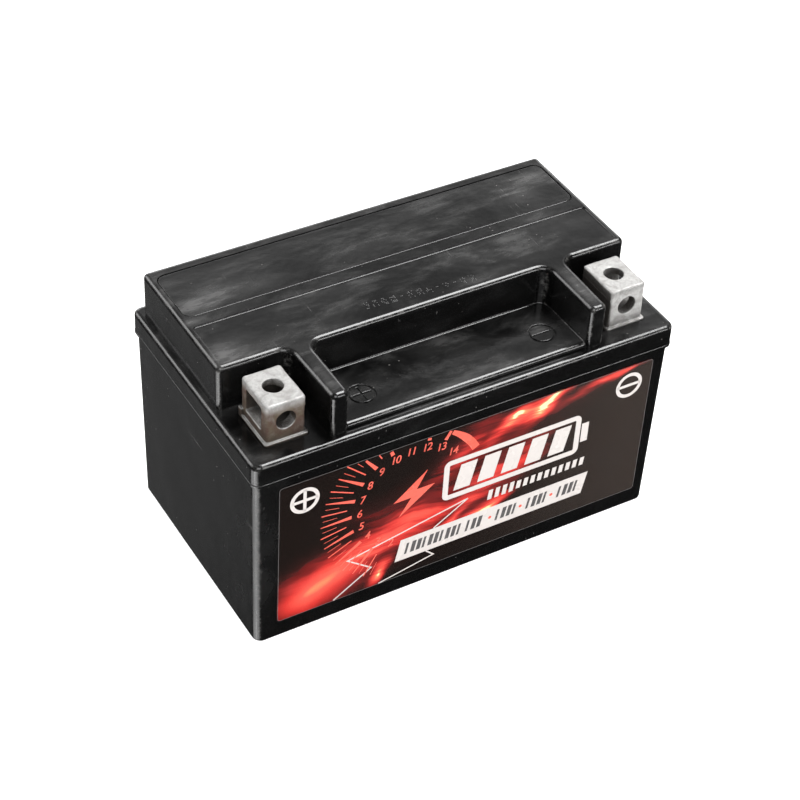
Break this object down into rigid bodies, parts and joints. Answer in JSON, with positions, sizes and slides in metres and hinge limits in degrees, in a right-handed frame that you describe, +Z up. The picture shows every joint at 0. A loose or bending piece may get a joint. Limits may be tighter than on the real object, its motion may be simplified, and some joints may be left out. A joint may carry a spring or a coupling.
{
  "type": "motorcycle battery",
  "caption": "Sealed lead-acid motorcycle battery: black box with a stepped cover, lift-out vent strip, hollow box terminals and a printed front label.",
  "frame": {"origin": "centre of the rectangle the battery stands on, at the underside of the container", "axes": "+X along the length towards the negative terminal, -Y out of the labelled front face, +Z up"},
  "size_m": [0.1516, 0.0864, 0.092],
  "materials": {
    "case_black": "satin black moulded plastic, fine moulded grain, light scuffs",
    "cover_black": "satin black moulded plastic, glossy edges, cloudy handling marks on top",
    "vent_black": "satin black moulded plastic, cloudy handling marks",
    "label_print": null,
    "lead_bright": "cast lead alloy, bright tinned skin, brownish oxide on the lower faces",
    "lead_dull": "cast lead alloy, dull grey",
    "black_rubber": "matt black rubber",
    "black_resin": "cast epoxy resin, black",
    "red_resin": "cast epoxy resin, red",
    "porous_disc": "porous sintered disc, off-white",
    "positive_paste": "lead dioxide paste on a lead grid, dark brown",
    "negative_paste": "spongy lead paste on a lead grid, slate grey",
    "glass_mat": "absorbent glass-fibre mat, white"
  },
  "bodies": {
    "case": {"container": "case_black", "cover": "cover_black", "front_label": "label_print", "negative_terminal": "lead_bright", "positive_terminal": "lead_bright", "negative_post": "lead_dull", "positive_post": "lead_dull", "negative_o_ring": "black_rubber", "positive_o_ring": "black_rubber", "negative_resin_seal": "black_resin", "positive_resin_seal": "red_resin", "positive_plates_1": "positive_paste", "negative_plates_1": "negative_paste", "separators_1": "glass_mat", "cell_connector_1": "lead_dull", "positive_plates_2": "positive_paste", "negative_plates_2": "negative_paste", "separators_2": "glass_mat", "cell_connector_2": "lead_dull", "positive_plates_3": "positive_paste", "negative_plates_3": "negative_paste", "separators_3": "glass_mat", "cell_connector_3": "lead_dull", "positive_plates_4": "positive_paste", "negative_plates_4": "negative_paste", "separators_4": "glass_mat", "cell_connector_4": "lead_dull", "positive_plates_5": "positive_paste", "negative_plates_5": "negative_paste", "separators_5": "glass_mat", "cell_connector_5": "lead_dull", "positive_plates_6": "positive_paste", "negative_plates_6": "negative_paste", "separators_6": "glass_mat"},
    "vent_strip": {"vent_cover": "vent_black", "flame_arrestor_left": "porous_disc", "flame_arrestor_right": "porous_disc"},
    "cap_1": {"valve_cap_1": "black_rubber"},
    "cap_2": {"valve_cap_2": "black_rubber"},
    "cap_3": {"valve_cap_3": "black_rubber"},
    "cap_4": {"valve_cap_4": "black_rubber"},
    "cap_5": {"valve_cap_5": "black_rubber"},
    "cap_6": {"valve_cap_6": "black_rubber"}
  },
  "joints": [
    {"name": "vent_cover_lift", "type": "slide", "parent": "case", "child": "vent_strip", "axis": [0, 0, 1], "range_m": [0, 0.016]},
    {"name": "valve_cap_lift_1", "type": "slide", "parent": "case", "child": "cap_1", "axis": [0, 0, 1], "range_m": [0, 0.0005], "stiffness_N_per_m": 1000, "springref_m": -0.0005},
    {"name": "valve_cap_lift_2", "type": "slide", "parent": "case", "child": "cap_2", "axis": [0, 0, 1], "range_m": [0, 0.0005], "stiffness_N_per_m": 1000, "springref_m": -0.0005},
    {"name": "valve_cap_lift_3", "type": "slide", "parent": "case", "child": "cap_3", "axis": [0, 0, 1], "range_m": [0, 0.0005], "stiffness_N_per_m": 1000, "springref_m": -0.0005},
    {"name": "valve_cap_lift_4", "type": "slide", "parent": "case", "child": "cap_4", "axis": [0, 0, 1], "range_m": [0, 0.0005], "stiffness_N_per_m": 1000, "springref_m": -0.0005},
    {"name": "valve_cap_lift_5", "type": "slide", "parent": "case", "child": "cap_5", "axis": [0, 0, 1], "range_m": [0, 0.0005], "stiffness_N_per_m": 1000, "springref_m": -0.0005},
    {"name": "valve_cap_lift_6", "type": "slide", "parent": "case", "child": "cap_6", "axis": [0, 0, 1], "range_m": [0, 0.0005], "stiffness_N_per_m": 1000, "springref_m": -0.0005}
  ]
}
